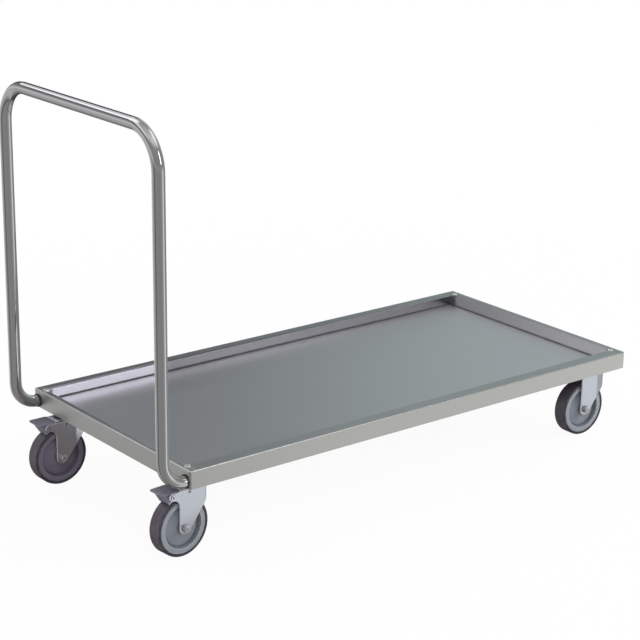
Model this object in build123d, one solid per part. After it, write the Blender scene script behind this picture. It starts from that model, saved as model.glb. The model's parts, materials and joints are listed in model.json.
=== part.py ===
from build123d import *
import math
import os

# A stainless platform trolley: a rimmed deck tray on two braked swivel castors and two fixed
# castors, with a bent push handle. Millimetres, +Z up. The origin is on the floor, under the
# middle of the whole trolley. +X points away from the handle, and +Y is the pusher's left.

# Deck tray
platform_length = 1200.0
platform_width = 585.0
sheet = 1.5
tray_depth = 22.0
handle_rim_width = 15.0
far_rim_width = 20.0
far_wall_run = 15.0
end_lip_width = 7.0
side_lip_width = 22.0
outer_corner_radius = 4.0
recess_corner_radius = 14.0
rim_fold_radius = 2.0
flange_edge_radius = 1.0
deck_fold_radius = 1.0

# Handle tube and its feet
tube_diameter = 25.0
tube_wall = 1.5
tube_side_gap = 0.5
tube_top_gap = 10.0
handle_height = 880.0
handle_top_radius = 80.0
handle_foot_radius = 50.0
foot_insert = 70.0
foot_hole_gap = 0.25
collar_thickness = 2.5
collar_wall = 1.7
collar_bore_gap = 0.1
plug_length = 60.0
plug_gap = 0.1
lock_screw_inset = 35.0
lock_screw_diameter = 6.0
lock_screw_hole_gap = 0.2
lock_screw_head_width = 10.0
lock_screw_head_height = 4.0
lock_screw_bite = 12.0

# Hollow rivets at the corners of the recess
rivet_corner_offset = 1.5
rivet_head_diameter = 12.0
rivet_head_height = 1.8
rivet_head_edge = 1.2
rivet_shank_diameter = 7.6
rivet_bore_diameter = 5.6
rivet_tail_diameter = 10.0
rivet_tail_height = 1.4
rivet_hole_gap = 0.1

# Channels under the deck
channel_depth = 14.5
channel_wall = 2.0
channel_lip_gap = 2.0
stiffener_width = 40.0
stiffener_spacing = 230.0
stiffener_end_gap = 1.0

# Wheels
wheel_diameter = 125.0
tyre_width = 32.0
tyre_shoulder_radius = 4.0
tyre_thickness = 6.0
tyre_bead_height = 1.8
tyre_bead_width = 14.0
rim_width = 29.0
rim_height = 11.0
rim_edge_radius = 1.2
rim_slope = 2.5
web_width_at_rim = 12.0
web_width_at_hub = 24.0
hub_diameter = 27.0
hub_side_gap = 0.5
sleeve_diameter = 12.0
sleeve_bore_gap = 0.05

# Forks
fork_sheet = 3.0
fork_side_gap = 2.5
fork_crown_gap = 18.0
fork_trail = 23.0
fork_boss_radius = 14.0
fork_rear_reach = 12.5
fork_front_reach = 33.0
fork_shoulder_height = 50.0
fork_shoulder_radius = 42.0
fork_fold_radius = 5.0
fork_corner_radius = 6.0
apron_drop = 17.0
side_hole_diameter = 4.0
side_hole_drop = 9.8
side_hole_ahead = 11.0
side_ring_diameter = 9.0
side_ring_height = 0.6

# Axles
axle_diameter = 8.0
axle_gap = 0.1
axle_head_width = 13.0
axle_head_height = 5.3
axle_nut_height = 6.5
axle_collar_diameter = 11.0
axle_collar_height = 2.0
axle_tail = 2.5

# Swivel heads
head_height = 11.0
race_gap = 2.4
race_inner_radius = 11.0
race_outer_radius = 23.5
ball_count = 16
ball_diameter = 6.0
ball_circle_radius = 17.5
ball_gap = 0.05
seal_gap = 0.7
seal_wall = 2.3
seal_top_gap = 0.8
kingpin_diameter = 12.0
kingpin_gap = 0.05
kingpin_flange_diameter = 26.0
kingpin_flange_thickness = 3.0
kingpin_head_width = 19.0
kingpin_head_height = 5.5
kingpin_lift = 0.2
kingpin_nut_width = 19.0
kingpin_nut_height = 6.0
kingpin_tail = 2.0

# Castor plates and their bolts
plate_thickness = 3.0
plate_length = 56.0
plate_width = 74.0
plate_corner_radius = 6.0
plate_edge_gap = 1.0
bolt_pitch_x = 39.0
bolt_pitch_y = 58.0
bolt_diameter = 8.0
bolt_hole_gap = 0.2
bolt_head_diameter = 14.0
bolt_head_height = 4.4
bolt_head_edge = 1.2
bolt_nut_width = 13.0
bolt_nut_height = 6.5
bolt_tail = 1.0
castor_side_gap = 35.0
fixed_castor_inset = 51.0

# Brake pedals
pedal_pin_diameter = 6.0
pedal_pin_gap = 0.05
pedal_pin_head_diameter = 9.5
pedal_pin_head_height = 1.6
pedal_pin_bore_diameter = 3.6
pedal_pin_bore_depth = 4.0
pedal_pin_setback = 30.0
pedal_lug_radius = 8.0
pedal_thickness = 2.8
pedal_lug_gap = 0.8
pedal_width = 42.0
pedal_reach = 56.0
pedal_crown_gap = 1.5
pedal_corner_radius = 5.0
pedal_edge_radius = 0.8
pedal_rib_count = 4
pedal_rib_pitch = 5.0
pedal_rib_height = 0.6
pedal_wedge_width = 29.0
pedal_wedge_inset = 5.0
pedal_wall = 2.8
shoe_thickness = 2.5
shoe_lift = 3.6
shoe_width = 30.0
shoe_start_angle = 106.0
shoe_end_angle = 122.0

# Heights above the floor, built up from the wheels
wheel_radius = wheel_diameter / 2
crown_underside = wheel_diameter + fork_crown_gap
crown_top = crown_underside + fork_sheet
plate_underside = crown_top + head_height
plate_top = plate_underside + plate_thickness
deck_underside = plate_top + channel_depth
deck_top = deck_underside + sheet
rim_top = deck_top + tray_depth
skirt_height = 2 * sheet + tube_top_gap + tube_diameter
skirt_bottom = rim_top - skirt_height

# Places along the trolley
tube_radius = tube_diameter / 2
handle_standoff = handle_foot_radius + collar_thickness
handle_overhang = handle_standoff + tube_radius
handle_end_x = handle_overhang - (platform_length + handle_overhang) / 2
far_end_x = handle_end_x + platform_length
platform_mid_x = (handle_end_x + far_end_x) / 2
recess_start_x = handle_end_x + handle_rim_width
recess_end_x = far_end_x - far_rim_width
recess_mid_x = (recess_start_x + recess_end_x) / 2
channel_width = plate_length + 2 * plate_edge_gap
kingpin_x = handle_end_x + end_lip_width + channel_lip_gap + channel_width / 2
fixed_plate_x = far_end_x - fixed_castor_inset
swivel_axle_x = kingpin_x - fork_trail
fixed_axle_x = fixed_plate_x - fork_trail

# Places across the trolley
side_rim_width = tube_diameter + 2 * tube_side_gap + 2 * sheet
tube_y = (platform_width - side_rim_width) / 2
tube_z = skirt_bottom + sheet + tube_radius
rim_inner_y = platform_width / 2 - side_rim_width
castor_y = rim_inner_y - castor_side_gap
sides = {"left": 1, "right": -1}

# How far each swivel castor stands turned about its kingpin, in degrees
rest_turns = {"left": 0.0, "right": 5.0}

# How far a cutting shape runs past the faces it opens
cut_margin = 1.0

# Shared fork sizes, measured from the axle
fork_gap = tyre_width + 2 * fork_side_gap
fork_half_width = fork_gap / 2 + fork_sheet
fork_front_x = fork_trail + fork_front_reach
crown_rise = crown_top - wheel_radius
lug_rise = crown_rise - pedal_thickness - pedal_lug_gap - pedal_lug_radius


def cylinder_x(radius, start_x, end_x, y, z):
    """A bar along X."""
    return Pos(start_x, y, z) * (Rot(0, 90, 0) * extrude(Circle(radius), end_x - start_x))


def cylinder_y(radius, start_y, end_y, x, z):
    """A bar along Y."""
    return Pos(x, start_y, z) * (Rot(-90, 0, 0) * extrude(Circle(radius), end_y - start_y))


def cylinder_z(radius, start_z, end_z, x, y):
    """A bar along Z."""
    return Pos(x, y, start_z) * extrude(Circle(radius), end_z - start_z)


def block(start_x, end_x, half_width, start_z, end_z):
    """A box across the middle plane."""
    body = Box(end_x - start_x, 2 * half_width, end_z - start_z)
    return Pos((start_x + end_x) / 2, 0, (start_z + end_z) / 2) * body


def hexagon(width, start_z, end_z, x, y):
    """A six-sided prism along Z, its width taken across the flats."""
    outline = RegularPolygon(width / 2, 6, major_radius=False)
    return Pos(x, y, start_z) * extrude(outline, end_z - start_z)


def rounded_slab(centre_x, length, width, radius, start_z, end_z):
    """A plate across the middle plane, with rounded upright corners."""
    outline = RectangleRounded(length, width, radius)
    return Pos(centre_x, 0, start_z) * extrude(outline, end_z - start_z)


def corner_points():
    """The rivet places on the rim flange, just outside the rounded corners of the recess."""
    reach_y = rim_inner_y + rivet_corner_offset
    ends = (recess_start_x - rivet_corner_offset, recess_end_x + rivet_corner_offset)
    return [(x, side * reach_y) for x in ends for side in sides.values()]


def side_prism(points, half_width):
    """A prism across the middle plane, drawn by its corners in the side view."""
    return extrude(Plane.XZ * make_face(Polyline(*points, close=True)), half_width, both=True)


def with_sloping_far_wall(tray):
    """The far wall of the recess leans outwards from the deck up to the flange's rounded edge."""
    lean = math.atan2(far_wall_run, tray_depth)
    across = (math.cos(lean), -math.sin(lean))
    top = (
        recess_end_x + flange_edge_radius * (1 - math.cos(lean)),
        rim_top - flange_edge_radius * (1 - math.sin(lean)),
    )

    def on_wall(height, depth):
        """A point of the wall at a height and at a depth under its upper side."""
        drop = top[1] - height - depth * math.sin(lean)
        return top[0] - drop * math.tan(lean) + depth * across[0], height

    foot_z = deck_top - sheet / 2
    wall_top = (top[0] + sheet * across[0], top[1] + sheet * across[1])
    wall = side_prism([on_wall(foot_z, 0), top, wall_top, on_wall(foot_z, sheet)], platform_width / 2)
    bounds = (recess_end_x - recess_start_x + sheet, 2 * rim_inner_y + sheet)
    wall &= rounded_slab(recess_mid_x, *bounds, recess_corner_radius + sheet / 2, foot_z, rim_top)
    below = deck_underside - cut_margin
    under_flange = rim_top - sheet
    end_x = recess_end_x + sheet + cut_margin
    space = [on_wall(below, sheet), on_wall(under_flange, sheet), (end_x, under_flange), (end_x, below)]
    return tray + wall - side_prism(space, rim_inner_y - recess_corner_radius)


def deck_tray():
    """The folded tray: skirt, flange, inner walls, deck and return lips."""
    platform = (platform_mid_x, platform_length, platform_width, outer_corner_radius)
    tray = rounded_slab(*platform, skirt_bottom, rim_top)
    tray = fillet(tray.faces().sort_by(Axis.Z)[-1].edges(), rim_fold_radius)
    inner_radius = outer_corner_radius - sheet
    inner_length = platform_length - 2 * sheet
    inner_width = platform_width - 2 * sheet
    tray -= rounded_slab(
        platform_mid_x, inner_length, inner_width, inner_radius, skirt_bottom, rim_top - sheet
    )
    recess_length = recess_end_x - recess_start_x
    recess_width = 2 * rim_inner_y
    pan_size = (recess_length + 2 * sheet, recess_width + 2 * sheet, recess_corner_radius + sheet)
    pan = rounded_slab(recess_mid_x, *pan_size, deck_underside, rim_top)
    tray += fillet(pan.faces().sort_by(Axis.Z)[0].edges(), deck_fold_radius + sheet)
    recess_size = (recess_length, recess_width, recess_corner_radius)
    recess = rounded_slab(recess_mid_x, *recess_size, deck_top, rim_top)
    tray -= fillet(recess.faces().sort_by(Axis.Z)[0].edges(), deck_fold_radius)
    mouth = tray.faces().sort_by(Axis.Z)[-1].inner_wires()[0].edges()
    tray = with_sloping_far_wall(fillet(mouth, flange_edge_radius))
    lip_heights = (skirt_bottom, skirt_bottom + sheet)
    window_length = platform_length - 2 * end_lip_width
    window_width = platform_width - 2 * side_lip_width
    window = rounded_slab(platform_mid_x, window_length, window_width, sheet, *lip_heights)
    tray += rounded_slab(*platform, *lip_heights) - window
    for side in sides.values():
        foot_hole = tube_radius + foot_hole_gap
        tray -= cylinder_x(foot_hole, handle_end_x - sheet, handle_end_x + 2 * sheet, side * tube_y, tube_z)
        screw_x = handle_end_x + lock_screw_inset
        screw_hole = lock_screw_diameter / 2 + lock_screw_hole_gap
        cut = (skirt_bottom - cut_margin, skirt_bottom + sheet + cut_margin)
        tray -= cylinder_z(screw_hole, *cut, screw_x, side * tube_y)
    for x, y in corner_points():
        rivet_hole = rivet_shank_diameter / 2 + rivet_hole_gap
        tray -= cylinder_z(rivet_hole, rim_top - sheet - cut_margin, rim_top + cut_margin, x, y)
    return tray


def corner_rivets():
    """Four hollow rivets through the rim flange."""
    rivets = []
    head_top = rim_top + rivet_head_height
    tail_top = rim_top - sheet
    tail_bottom = tail_top - rivet_tail_height
    for x, y in corner_points():
        rivet = cylinder_z(rivet_head_diameter / 2, rim_top, head_top, x, y)
        rivet = fillet(rivet.edges().sort_by(Axis.Z)[-1], rivet_head_edge)
        rivet += cylinder_z(rivet_shank_diameter / 2, tail_top, rim_top, x, y)
        rivet += cylinder_z(rivet_tail_diameter / 2, tail_bottom, tail_top, x, y)
        rivets.append(rivet - cylinder_z(rivet_bore_diameter / 2, tail_bottom, head_top, x, y))
    return Compound(children=rivets)


def channel(length, width, depth, wall):
    """An open channel along X, web down, with its web on the plane z = 0."""
    outer = block(-length / 2, length / 2, width / 2, 0, depth)
    return outer - block(-length / 2, length / 2, width / 2 - wall, wall, depth)


def plate_bolt_points(centre_x, centre_y):
    """The four bolt places of one castor plate."""
    return [
        (centre_x + step_x * bolt_pitch_x / 2, centre_y + step_y * bolt_pitch_y / 2)
        for step_x in (-1, 1)
        for step_y in (-1, 1)
    ]


def cross_channel(centre_x, with_kingpins):
    """The channel above one pair of castors, with its bolt holes and any kingpin holes."""
    bar = channel(2 * (rim_inner_y + sheet), channel_width, channel_depth, channel_wall)
    bar = Pos(centre_x, 0, plate_top) * (Rot(0, 0, 90) * bar)
    cut = (plate_top - cut_margin, plate_top + channel_wall + cut_margin)
    for side in sides.values():
        for x, y in plate_bolt_points(centre_x, side * castor_y):
            bar -= cylinder_z(bolt_diameter / 2 + bolt_hole_gap, *cut, x, y)
        if with_kingpins:
            bar -= cylinder_z(kingpin_diameter / 2 + bolt_hole_gap, *cut, centre_x, side * castor_y)
    return bar


def deck_stiffeners():
    """Two long channels between the cross channels."""
    start_x = kingpin_x + channel_width / 2 + stiffener_end_gap
    end_x = fixed_plate_x - channel_width / 2 - stiffener_end_gap
    bar = channel(end_x - start_x, stiffener_width, channel_depth, sheet)
    middle = (start_x + end_x) / 2
    bars = [Pos(middle, side * stiffener_spacing / 2, plate_top) * bar for side in sides.values()]
    return Compound(children=bars)


def push_handle():
    """One bent tube: two feet, two uprights and the top bar."""
    foot_x = handle_end_x + foot_insert
    leg_x = handle_end_x - handle_standoff
    bar_z = handle_height - tube_radius
    corners = [
        (foot_x, tube_y, tube_z),
        (leg_x, tube_y, tube_z),
        (leg_x, tube_y, bar_z),
        (leg_x, -tube_y, bar_z),
        (leg_x, -tube_y, tube_z),
        (foot_x, -tube_y, tube_z),
    ]
    bends = [handle_foot_radius, handle_top_radius, handle_top_radius, handle_foot_radius]
    path = FilletPolyline(*corners, radius=bends)
    ring = Circle(tube_radius) - Circle(tube_radius - tube_wall)
    start = Plane(origin=corners[0], z_dir=(-1, 0, 0))
    tube = sweep(start * ring, path=path)
    for side in sides.values():
        hole = lock_screw_diameter / 2 + lock_screw_hole_gap
        screw_x = handle_end_x + lock_screw_inset
        tube -= cylinder_z(hole, tube_z - tube_diameter, tube_z, screw_x, side * tube_y)
    return tube


def foot_collars():
    """Soft collars between the handle feet and the end skirt."""
    collars = []
    for side in sides.values():
        ends = (handle_end_x - collar_thickness, handle_end_x, side * tube_y, tube_z)
        collar = cylinder_x(tube_radius + collar_wall, *ends)
        collars.append(collar - cylinder_x(tube_radius + collar_bore_gap, *ends))
    return Compound(children=collars)


def tube_plugs():
    """Plugs in the handle feet, tapped for the lock screws."""
    plugs = []
    radius = tube_radius - tube_wall - plug_gap
    end_x = handle_end_x + foot_insert
    for side in sides.values():
        plug = cylinder_x(radius, end_x - plug_length, end_x, side * tube_y, tube_z)
        screw_x = handle_end_x + lock_screw_inset
        hole = lock_screw_diameter / 2
        top_z = tube_z - radius + lock_screw_bite
        plugs.append(plug - cylinder_z(hole, tube_z - tube_diameter, top_z, screw_x, side * tube_y))
    return Compound(children=plugs)


def lock_screws():
    """Screws up through the side lips and the tube into the plugs."""
    screws = []
    screw_x = handle_end_x + lock_screw_inset
    top_z = tube_z - tube_radius + tube_wall + plug_gap + lock_screw_bite
    for side in sides.values():
        shank = cylinder_z(lock_screw_diameter / 2, skirt_bottom, top_z, screw_x, side * tube_y)
        head_z = skirt_bottom - lock_screw_head_height
        screws.append(shank + hexagon(lock_screw_head_width, head_z, skirt_bottom, screw_x, side * tube_y))
    return Compound(children=screws)


def turned(section):
    """A section drawn as (radius, width) turned about the wheel's axis, which lies along Z."""
    return revolve(Plane.XZ * section, Axis.Z)


def tyre(axle_x, centre_y):
    """A soft tread with rounded shoulders, moulded round the rim and its key."""
    outer = wheel_radius
    inner = wheel_radius - tyre_thickness
    section = Pos((outer + inner) / 2, 0) * Rectangle(tyre_thickness, tyre_width)
    section = fillet(section.vertices().group_by(Axis.X)[-1], tyre_shoulder_radius)
    section -= Pos(inner, 0) * Rectangle(2 * tyre_bead_height, tyre_bead_width)
    return Pos(axle_x, centre_y, wheel_radius) * (Rot(90, 0, 0) * turned(section))


def wheel_core(axle_x, centre_y):
    """The moulded wheel body: hub, dished web, rim and the key under the tread."""
    rim_radius = wheel_radius - tyre_thickness
    bore_radius = sleeve_diameter / 2 + sleeve_bore_gap
    hub_half = fork_gap / 2 - hub_side_gap
    web_radius = rim_radius - rim_height
    half = [
        (bore_radius, hub_half),
        (hub_diameter / 2, hub_half),
        (hub_diameter / 2, web_width_at_hub / 2),
        (web_radius - rim_slope, web_width_at_rim / 2),
        (web_radius, rim_width / 2),
        (rim_radius, rim_width / 2),
    ]
    other_half = [(radius, -width) for radius, width in reversed(half)]
    section = make_face(Polyline(*half, *other_half, close=True))
    section = fillet(section.vertices().group_by(Axis.X)[-1], rim_edge_radius)
    key = Rectangle(2 * tyre_bead_height, tyre_bead_width)
    section += Pos(rim_radius, 0) * key
    return Pos(axle_x, centre_y, wheel_radius) * (Rot(90, 0, 0) * turned(section))


def tangent_point(far_x, far_z):
    """Where a line from a far point meets the axle boss, on its lower front side."""
    distance = math.hypot(far_x, far_z)
    angle = math.atan2(far_z, far_x) - math.acos(fork_boss_radius / distance)
    return fork_boss_radius * math.cos(angle), fork_boss_radius * math.sin(angle)


def fork_outline(with_lug):
    """The side view of a fork as a face, with the axle at its origin."""
    shoulder = (fork_front_x, fork_shoulder_height)
    boss_front = tangent_point(*shoulder)
    rear = -fork_rear_reach
    boss_rear = (rear, -math.sqrt(fork_boss_radius**2 - fork_rear_reach**2))
    boss_bottom = (0, -fork_boss_radius)
    front = FilletPolyline(
        boss_front, shoulder, (fork_front_x, crown_rise), radius=[fork_shoulder_radius]
    )
    boss = ThreePointArc(boss_rear, boss_bottom, boss_front)
    if not with_lug:
        back = Polyline((fork_front_x, crown_rise), (rear, crown_rise), boss_rear)
        return make_face(front + boss + back)
    lug_top = lug_rise + pedal_lug_radius
    lug_bottom = lug_rise - pedal_lug_radius
    throat = pedal_pin_setback - fork_rear_reach
    top = Polyline(
        (fork_front_x, crown_rise), (rear, crown_rise), (rear, lug_top), (-pedal_pin_setback, lug_top)
    )
    lug_tip = (-pedal_pin_setback - pedal_lug_radius, lug_rise)
    lug = ThreePointArc((-pedal_pin_setback, lug_top), lug_tip, (-pedal_pin_setback, lug_bottom))
    throat_middle = throat * math.cos(math.radians(45))
    throat_z = lug_bottom - throat
    throat_arc = ThreePointArc(
        (-pedal_pin_setback, lug_bottom),
        (-pedal_pin_setback + throat_middle, throat_z + throat_middle),
        (rear, throat_z),
    )
    back = Line((rear, throat_z), boss_rear)
    return make_face(front + boss + top + lug + throat_arc + back)


def fork_envelope(inset):
    """A folded hood round the wheel, shrunk by an inset: crown, sides and front apron."""
    rear = -pedal_pin_setback - 2 * pedal_lug_radius - 2 * inset
    half_width = fork_half_width - inset
    hood = block(rear, fork_front_x - inset, half_width, -2 * fork_boss_radius, crown_rise - inset)
    front_corners = hood.edges().filter_by(Axis.Z).group_by(Axis.X)[-1]
    hood = fillet(front_corners, fork_corner_radius - inset)
    crown_edges = hood.faces().sort_by(Axis.Z)[-1].edges()
    folds = [edge for edge in crown_edges if edge.center().X > rear + fork_sheet]
    return fillet(folds, fork_fold_radius - inset)


def with_side_holes(shape):
    """A small hole through each side of a fork, under the crown, with a raised ring round it."""
    place = (side_hole_ahead, crown_rise - side_hole_drop)
    ring_end = fork_half_width + side_ring_height
    for start_y, end_y in ((-ring_end, -fork_half_width), (fork_half_width, ring_end)):
        shape += cylinder_y(side_ring_diameter / 2, start_y, end_y, *place)
    return shape - cylinder_y(side_hole_diameter / 2, -ring_end, ring_end, *place)


def fork(axle_x, centre_y, with_lug):
    """A pressed fork: side plates, crown and a short front apron."""
    shape = fork_envelope(0) - fork_envelope(fork_sheet)
    shape = shape & extrude(Plane.XZ * fork_outline(with_lug), 2 * fork_half_width, both=True)
    apron_start = fork_front_x - fork_corner_radius
    apron_bottom = crown_rise - fork_sheet - apron_drop
    apron_end = fork_front_x + cut_margin
    shape -= block(apron_start, apron_end, fork_gap / 2, -2 * fork_boss_radius, apron_bottom)
    reach = 2 * fork_half_width
    shape -= cylinder_y((axle_diameter + axle_gap) / 2, -reach, reach, 0, 0)
    if with_lug:
        pin_hole = pedal_pin_diameter / 2 + pedal_pin_gap
        shape -= cylinder_y(pin_hole, -reach, reach, -pedal_pin_setback, lug_rise)
        crown_hole = kingpin_diameter / 2 + kingpin_gap
        cut_bottom = crown_rise - fork_sheet - cut_margin
        shape -= cylinder_z(crown_hole, cut_bottom, crown_rise + cut_margin, fork_trail, 0)
        shape = with_side_holes(shape)
    return Pos(axle_x, centre_y, wheel_radius) * shape


def axle_sleeve(axle_x, centre_y):
    """The tube that the wheel turns on, clamped between the fork's sides."""
    half = fork_gap / 2
    sleeve = cylinder_y(sleeve_diameter / 2, -half, half, 0, 0)
    sleeve -= cylinder_y((axle_diameter + axle_gap) / 2, -half, half, 0, 0)
    return Pos(axle_x, centre_y, wheel_radius) * sleeve


def axle_bolt(axle_x, centre_y):
    """A hexagon bolt with its head on the pusher's left."""
    tail = fork_half_width + axle_nut_height + axle_tail
    bolt = cylinder_z(axle_diameter / 2, -fork_half_width, tail, 0, 0)
    bolt += hexagon(axle_head_width, -fork_half_width - axle_head_height, -fork_half_width, 0, 0)
    return Pos(axle_x, centre_y, wheel_radius) * (Rot(90, 0, 0) * bolt)


def axle_nut(axle_x, centre_y):
    """A lock nut with a rounded collar, on the pusher's right."""
    nut = hexagon(axle_head_width, fork_half_width, fork_half_width + axle_nut_height, 0, 0)
    collar_top = fork_half_width + axle_nut_height + axle_collar_height
    nut += cylinder_z(axle_collar_diameter / 2, fork_half_width, collar_top, 0, 0)
    nut -= cylinder_z(axle_diameter / 2, 0, collar_top, 0, 0)
    return Pos(axle_x, centre_y, wheel_radius) * (Rot(90, 0, 0) * nut)


def castor_plate(centre_x, centre_y, boss_bottom):
    """A top plate with four bolt holes and a round boss under it."""
    outline = RectangleRounded(plate_length, plate_width, plate_corner_radius)
    plate = Pos(centre_x, centre_y, plate_underside) * extrude(outline, plate_thickness)
    plate += cylinder_z(race_outer_radius, boss_bottom, plate_underside, centre_x, centre_y)
    plate -= cylinder_z(race_inner_radius, boss_bottom, plate_underside, centre_x, centre_y)
    cut = (plate_underside - cut_margin, plate_top + cut_margin)
    for x, y in plate_bolt_points(centre_x, centre_y):
        plate -= cylinder_z(bolt_diameter / 2 + bolt_hole_gap, *cut, x, y)
    return plate


def ball_track(centre_y):
    """The round groove that the balls run in."""
    track = Torus(ball_circle_radius, ball_diameter / 2 + ball_gap)
    return Pos(kingpin_x, centre_y, crown_top + head_height / 2) * track


def swivel_plate(centre_y):
    """A castor plate whose boss is the upper race."""
    boss_bottom = crown_top + (head_height + race_gap) / 2
    plate = castor_plate(kingpin_x, centre_y, boss_bottom) - ball_track(centre_y)
    cut = (plate_underside - cut_margin, plate_top + cut_margin)
    return plate - cylinder_z(kingpin_diameter / 2 + bolt_hole_gap, *cut, kingpin_x, centre_y)


def lower_race(centre_y):
    """The race that lies on the fork's crown."""
    race_top = crown_top + (head_height - race_gap) / 2
    race = cylinder_z(race_outer_radius, crown_top, race_top, kingpin_x, centre_y)
    race -= cylinder_z(race_inner_radius, crown_top, race_top, kingpin_x, centre_y)
    return race - ball_track(centre_y)


def bearing_ring(centre_y):
    """The ring of balls that carries the load between the races."""
    ball = Sphere(ball_diameter / 2)
    centre = Pos(kingpin_x, centre_y, crown_top + head_height / 2)
    places = PolarLocations(ball_circle_radius, ball_count)
    return Compound(children=[centre * place * ball for place in places])


def dust_seal(centre_y):
    """A soft skirt round both races."""
    inner = race_outer_radius + seal_gap
    top_z = plate_underside - seal_top_gap
    seal = cylinder_z(inner + seal_wall, crown_top, top_z, kingpin_x, centre_y)
    return seal - cylinder_z(inner, crown_top, top_z, kingpin_x, centre_y)


def kingpin(centre_y):
    """A flanged bolt from under the crown up through the cross channel."""
    flange_top = crown_underside - kingpin_lift
    flange_bottom = flange_top - kingpin_flange_thickness
    nut_top = plate_top + channel_wall + kingpin_nut_height
    pin = cylinder_z(kingpin_diameter / 2, flange_top, nut_top + kingpin_tail, kingpin_x, centre_y)
    pin += cylinder_z(kingpin_flange_diameter / 2, flange_bottom, flange_top, kingpin_x, centre_y)
    head_bottom = flange_bottom - kingpin_head_height
    return pin + hexagon(kingpin_head_width, head_bottom, flange_bottom, kingpin_x, centre_y)


def kingpin_nut(centre_y):
    """The nut above the cross channel's web."""
    seat = plate_top + channel_wall
    nut = hexagon(kingpin_nut_width, seat, seat + kingpin_nut_height, kingpin_x, centre_y)
    return nut - cylinder_z(kingpin_diameter / 2, seat, seat + kingpin_nut_height, kingpin_x, centre_y)


def plate_bolts(centre_x):
    """Button-head bolts down through the channel web and both plates of one end."""
    bolts = []
    seat = plate_top + channel_wall
    for side in sides.values():
        for x, y in plate_bolt_points(centre_x, side * castor_y):
            tail = plate_underside - bolt_nut_height - bolt_tail
            head = cylinder_z(bolt_head_diameter / 2, seat, seat + bolt_head_height, x, y)
            head = chamfer(head.edges().sort_by(Axis.Z)[-1], bolt_head_edge)
            bolts.append(head + cylinder_z(bolt_diameter / 2, tail, seat, x, y))
    return Compound(children=bolts)


def plate_nuts(centre_x):
    """The nuts under both plates of one end."""
    nuts = []
    bottom = plate_underside - bolt_nut_height
    for side in sides.values():
        for x, y in plate_bolt_points(centre_x, side * castor_y):
            nut = hexagon(bolt_nut_width, bottom, plate_underside, x, y)
            nuts.append(nut - cylinder_z(bolt_diameter / 2, bottom, plate_underside, x, y))
    return Compound(children=nuts)


def pedal_pin(axle_x, centre_y):
    """The hollow-ended rivet that the pedal tilts on."""
    seat = fork_half_width
    end = seat + pedal_pin_head_height
    depth = end - pedal_pin_bore_depth
    pin = cylinder_y(pedal_pin_diameter / 2, -end, end, 0, 0)
    for start_y, end_y in ((-end, -seat), (seat, end)):
        pin += cylinder_y(pedal_pin_head_diameter / 2, start_y, end_y, 0, 0)
    for start_y, end_y in ((-end, -depth), (depth, end)):
        pin -= cylinder_y(pedal_pin_bore_diameter / 2, start_y, end_y, 0, 0)
    return Pos(axle_x - pedal_pin_setback, centre_y, wheel_radius + lug_rise) * pin


def arc_face(inner_radius, outer_radius, start_angle, end_angle):
    """A band of a ring about the axle, in the side view."""
    def at(radius, angle):
        turn = math.radians(angle)
        return radius * math.cos(turn), radius * math.sin(turn)
    middle = (start_angle + end_angle) / 2
    outer = ThreePointArc(*(at(outer_radius, a) for a in (start_angle, middle, end_angle)))
    inner = ThreePointArc(*(at(inner_radius, a) for a in (end_angle, middle, start_angle)))
    sides_of_band = Line(outer @ 1, inner @ 0) + Line(inner @ 1, outer @ 0)
    return make_face(outer + inner + sides_of_band)


def brake_shoe(axle_x, centre_y):
    """A curved steel shoe just off the tread."""
    inner = wheel_radius + shoe_lift
    band = arc_face(inner, inner + shoe_thickness, shoe_start_angle, shoe_end_angle)
    shoe = extrude(Plane.XZ * band, shoe_width / 2, both=True)
    return Pos(axle_x, centre_y, wheel_radius) * shoe


def pedal_wedge_face():
    """The side view of the pedal's wedge, from the tread plate down to the shoe."""
    plate_bottom = crown_rise - pedal_thickness
    shoe_back = wheel_radius + shoe_lift + shoe_thickness
    start = math.radians(shoe_start_angle)
    end = math.radians(shoe_end_angle)
    middle = (start + end) / 2
    low = (shoe_back * math.cos(end), shoe_back * math.sin(end))
    centre = (shoe_back * math.cos(middle), shoe_back * math.sin(middle))
    high = (shoe_back * math.cos(start), shoe_back * math.sin(start))
    front = pedal_lug_radius - pedal_pin_setback
    wedge_rear = pedal_wedge_inset - pedal_reach
    seat = ThreePointArc(low, centre, high)
    rest = Polyline(high, (front, lug_rise), (front, plate_bottom), (wedge_rear, plate_bottom), low)
    return make_face(seat + rest)


def pedal(axle_x, centre_y):
    """A moulded pedal: a ribbed tread plate on a hollow wedge, open at its front and foot."""
    plate_bottom = crown_rise - pedal_thickness
    rear = -pedal_reach
    front = -fork_rear_reach - pedal_crown_gap
    plate = block(rear, front, pedal_width / 2, plate_bottom, crown_rise)
    plate = fillet(plate.edges().filter_by(Axis.Z), pedal_corner_radius)
    shape = fillet(plate.faces().sort_by(Axis.Z)[-1].edges(), pedal_edge_radius)
    rib_half = pedal_width / 2 - pedal_corner_radius
    for index in range(pedal_rib_count):
        rib_x = rear + pedal_corner_radius + index * pedal_rib_pitch
        rib_top = crown_rise + pedal_rib_height
        shape += block(rib_x, rib_x + pedal_rib_pitch / 2, rib_half, crown_rise, rib_top)
    wedge_half = pedal_wedge_width / 2
    wedge = Plane.XZ * pedal_wedge_face()
    shape += extrude(wedge, wedge_half, both=True)
    shape -= Pos(pedal_wall, 0, 0) * extrude(wedge, wedge_half - pedal_wall, both=True)
    bore = pedal_pin_diameter / 2 + pedal_pin_gap
    shape -= cylinder_y(bore, -pedal_width, pedal_width, -pedal_pin_setback, lug_rise)
    return Pos(axle_x, centre_y, wheel_radius) * shape


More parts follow.
